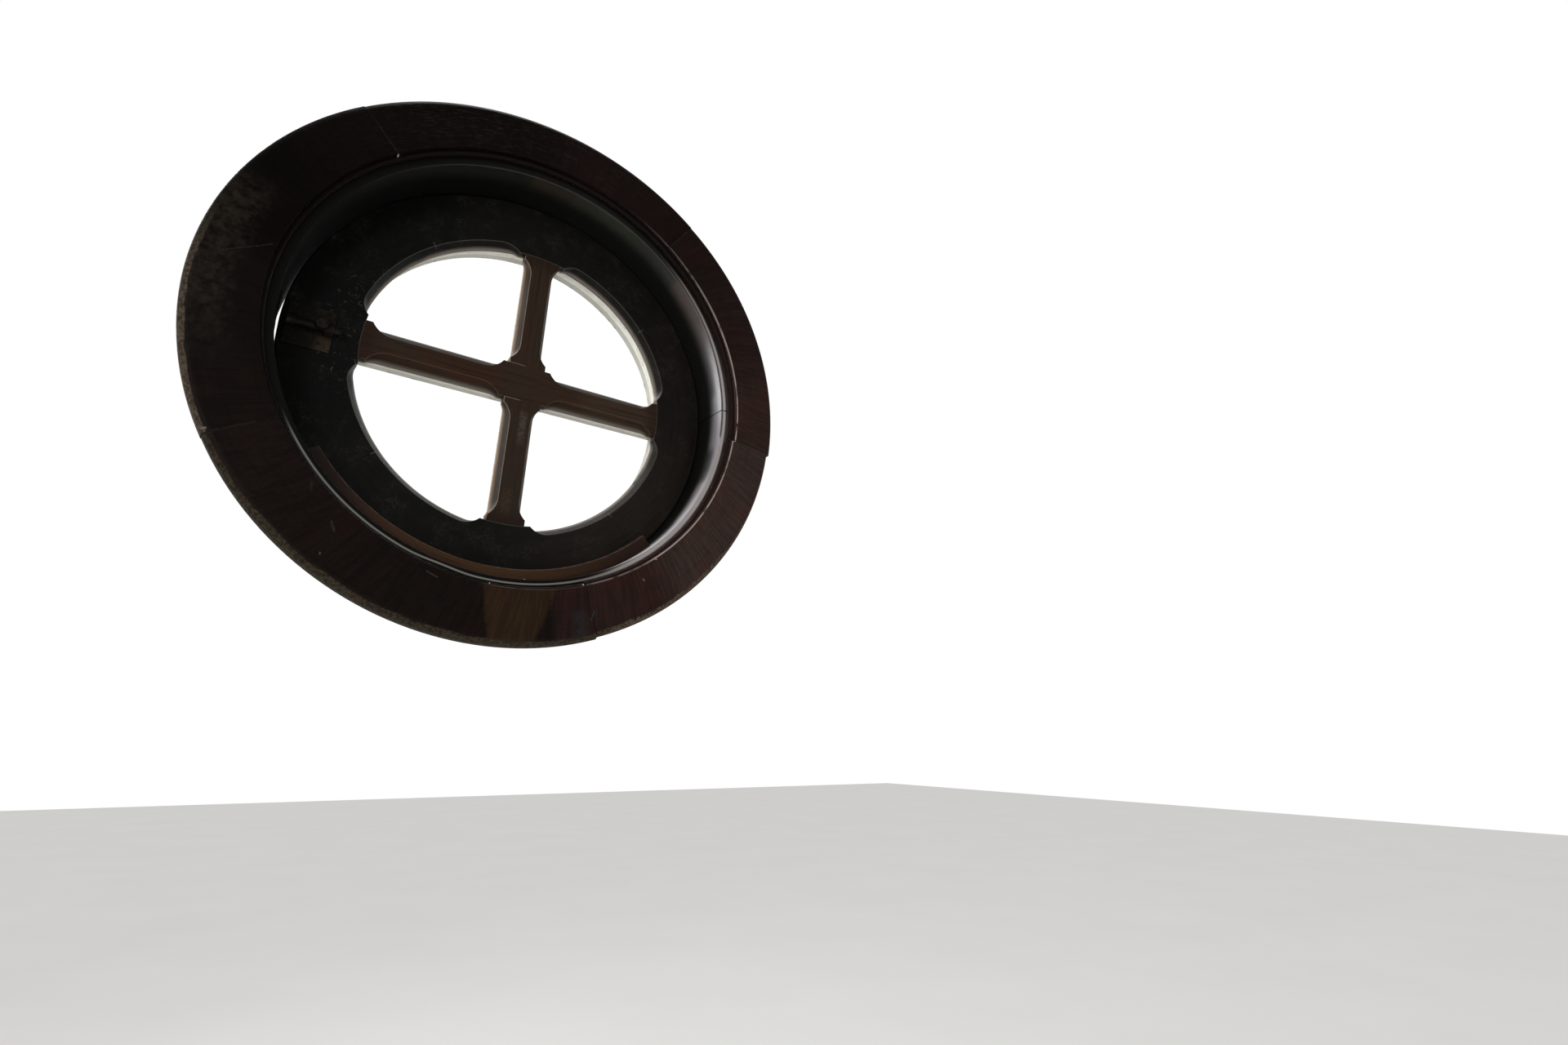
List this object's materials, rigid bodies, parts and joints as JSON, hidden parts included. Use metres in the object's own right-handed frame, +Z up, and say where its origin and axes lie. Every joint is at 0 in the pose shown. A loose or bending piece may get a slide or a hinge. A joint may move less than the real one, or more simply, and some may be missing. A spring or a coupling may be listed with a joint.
{
  "type": "round window",
  "caption": "Round timber window with moulded casing, deep bent liner, outward opening sash divided by crossed muntins, and a small sliding bolt.",
  "frame": {"origin": "on the window's axis, in the plane of the casing's back, which lies on the wall's room face", "axes": "+X to the right seen from the room, +Y outwards through the wall along the window's axis, +Z up"},
  "size_m": [0.4723, 0.0957, 0.471],
  "materials": {
    "casing_wood": "worn dark stain with satin varnish",
    "liner_wood": "glossy dark varnish",
    "stop_wood": "orange-brown varnish",
    "sash_wood": "near-black stain, satin",
    "muntin_wood": "reddish stain, worn",
    "pane_glass": "clear float glass",
    "putty": "dry glazing putty",
    "bolt_metal": "dull brass with old paint",
    "steel": "dull steel"
  },
  "bodies": {
    "frame": {"casing_top": "casing_wood", "casing_upper_right": "casing_wood", "casing_lower_right": "casing_wood", "casing_bottom": "casing_wood", "casing_left": "casing_wood", "casing_nails": "steel", "liner": "liner_wood", "stop_strip": "stop_wood", "stop_pins": "steel", "keeper_plate": "bolt_metal", "keeper_screws": "steel", "hinge_frame_leaf_upper": "steel", "hinge_frame_leaf_lower": "steel", "hinge_pin_upper": "steel", "hinge_pin_lower": "steel", "hinge_frame_screws": "steel"},
    "sash": {"sash_top": "sash_wood", "sash_left": "sash_wood", "sash_bottom": "sash_wood", "sash_right": "sash_wood", "muntin_level": "muntin_wood", "muntin_upright": "muntin_wood", "pane_upper_left": "pane_glass", "pane_upper_right": "pane_glass", "pane_lower_left": "pane_glass", "pane_lower_right": "pane_glass", "putty_upper_left": "putty", "putty_upper_right": "putty", "putty_lower_left": "putty", "putty_lower_right": "putty", "bolt_plate": "bolt_metal", "bolt_plate_screws": "steel", "hinge_sash_leaf_upper": "steel", "hinge_sash_leaf_lower": "steel", "hinge_sash_screws": "steel"},
    "bolt": {"bolt_rod": "bolt_metal", "bolt_knob": "bolt_metal"}
  },
  "joints": [
    {"name": "sash_hinge", "type": "hinge", "parent": "frame", "child": "sash", "pos_m": [0.184, 0.081, 0], "axis": [0, 0, -1], "range_deg": [0, 100]},
    {"name": "bolt_slide", "type": "slide", "parent": "sash", "child": "bolt", "axis": [-1, 0, 0], "range_m": [0, 0.01]}
  ]
}
